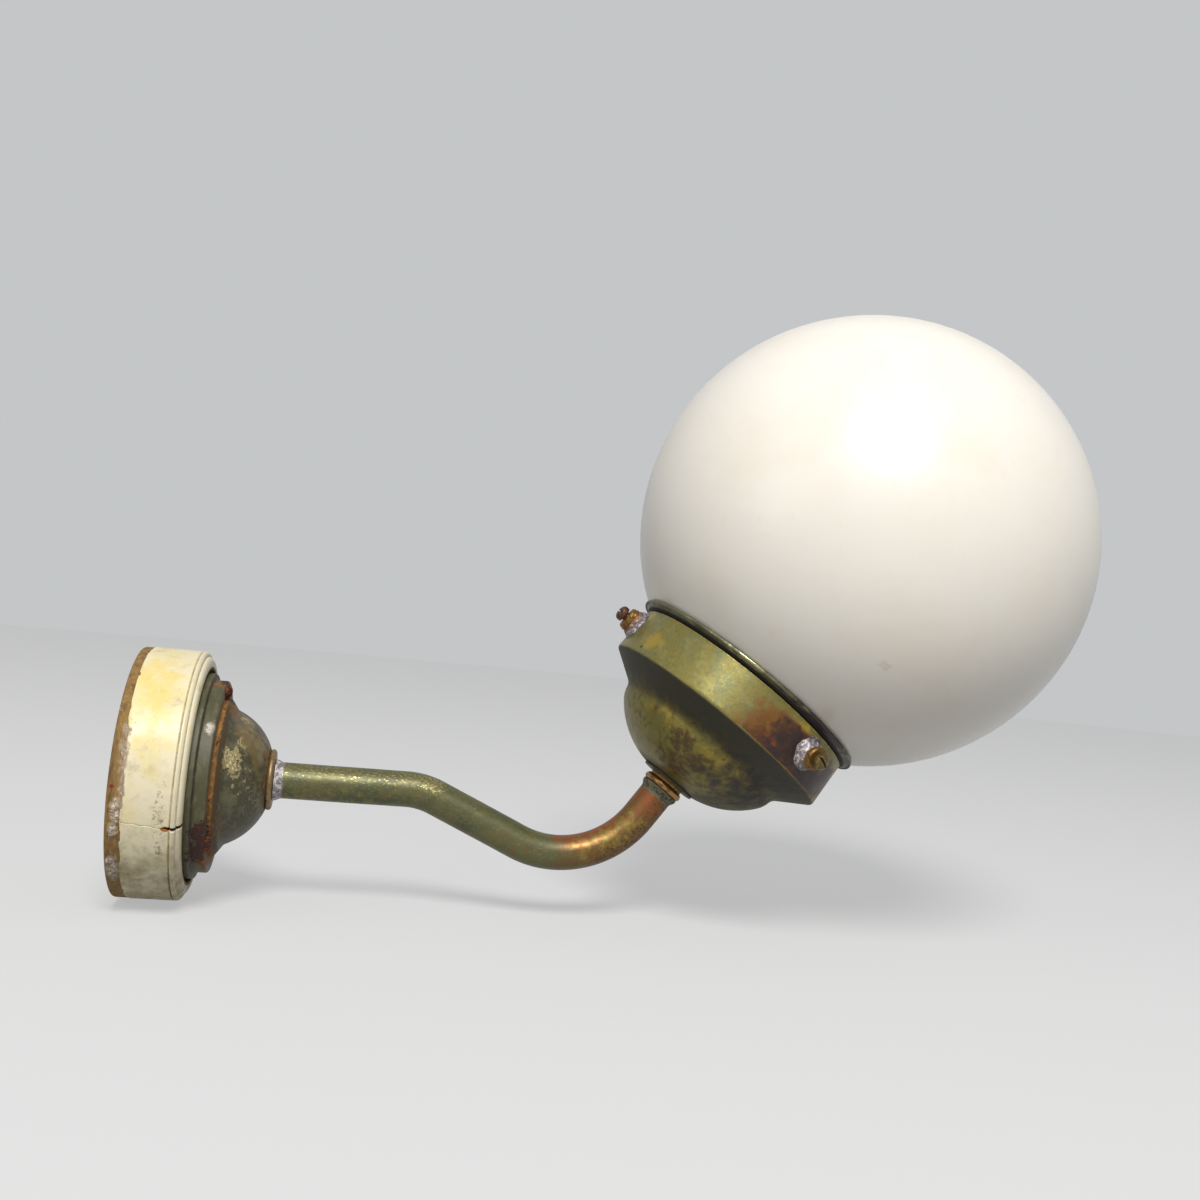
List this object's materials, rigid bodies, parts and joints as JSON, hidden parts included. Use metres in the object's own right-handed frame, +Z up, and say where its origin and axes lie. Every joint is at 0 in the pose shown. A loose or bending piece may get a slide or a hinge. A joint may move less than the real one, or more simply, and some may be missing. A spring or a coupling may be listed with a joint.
{
  "type": "wall lamp",
  "caption": "Old wall lamp: turned wall block and stepped rose, S-shaped brass arm, spun gallery with clamp screws, lampholder, and a lift-off opal glass globe.",
  "frame": {"origin": "centre of the back face of the wall block, on the axis of the cable hole and midway between the two wall screws", "axes": "+X points straight out of the wall, +Z points up, and the arm and the globe's axis lie in the XZ plane; +Y is to the left for someone who faces the wall from in front of the lamp and looks along -X"},
  "size_m": [0.4015, 0.2, 0.2745],
  "materials": {
    "block_paint": "aged cream gloss paint on turned wood, bare and chalky at the back edge",
    "flange_paint": "worn olive grey-green paint with rust",
    "rusty_steel": "rusted slotted screws",
    "rose_paint": "mottled grey-green paint over brass, rusty rim",
    "rose_collar_brass": "dull tan brass",
    "arm_brass": "olive and brown patina with soldered ends",
    "inner_brass": "dull turned brass",
    "porcelain": "white glaze",
    "plated_steel": "plated screws",
    "wire_red": "braided cotton over rubber",
    "wire_black": "braided cotton over rubber",
    "ring_brass": "bright worn brass",
    "washer_brass": "olive patina",
    "gallery_brass": "spun brass with olive, gold and brown patina",
    "bush_solder": "lumpy grey solder with an orange rim",
    "screw_copper": "brown worn brass",
    "collar_brass": "grey-green patina",
    "cement": "matt plaster",
    "opal_glass": "satin white opal glass",
    "clear_glass": "clear blown glass",
    "lamp_aluminium": "thin pressed cap",
    "black_glass": "black glass insulator",
    "lamp_lead": "soft solder"
  },
  "bodies": {
    "lamp": {"wall_block": "block_paint", "rose_flange": "flange_paint", "flange_screws": "rusty_steel", "rose_dome": "rose_paint", "rose_collar": "rose_collar_brass", "arm_tube": "arm_brass", "arm_back_washer": "inner_brass", "arm_back_nut": "inner_brass", "terminal_block": "porcelain", "terminal_inserts": "inner_brass", "terminal_screws": "plated_steel", "wire_live": "wire_red", "wire_neutral": "wire_black", "gallery_ring": "ring_brass", "seat_washer": "washer_brass", "gallery": "gallery_brass", "screw_bushes": "bush_solder", "gallery_nipple": "inner_brass", "gallery_locknut": "inner_brass", "holder_cap": "inner_brass", "holder_body": "porcelain", "holder_shell": "inner_brass", "holder_terminals": "inner_brass", "centre_contact": "inner_brass"},
    "screw_1": {"gallery_screw_1": "screw_copper"},
    "screw_2": {"gallery_screw_2": "screw_copper"},
    "screw_3": {"gallery_screw_3": "screw_copper"},
    "glass": {"glass_collar": "collar_brass", "neck_cement": "cement", "globe": "opal_glass"},
    "bulb": {"lamp_cap": "lamp_aluminium", "lamp_glass": "clear_glass", "lamp_insulator": "black_glass", "lamp_contact": "lamp_lead"}
  },
  "joints": [
    {"name": "screw_1_out", "type": "slide", "parent": "lamp", "child": "screw_1", "axis": [-0.8156, 0.0349, 0.5775], "range_m": [0, 0.006]},
    {"name": "screw_2_out", "type": "slide", "parent": "lamp", "child": "screw_2", "axis": [0.3832, -0.8829, -0.2713], "range_m": [0, 0.006]},
    {"name": "screw_3_out", "type": "slide", "parent": "lamp", "child": "screw_3", "axis": [0.4325, 0.848, -0.3062], "range_m": [0, 0.006]},
    {"name": "glass_lift", "type": "slide", "parent": "lamp", "child": "glass", "axis": [0.5779, 0, 0.8161], "range_m": [0, 0.12]},
    {"name": "bulb_out", "type": "slide", "parent": "lamp", "child": "bulb", "axis": [0.5779, 0, 0.8161], "range_m": [0, 0.024]}
  ]
}
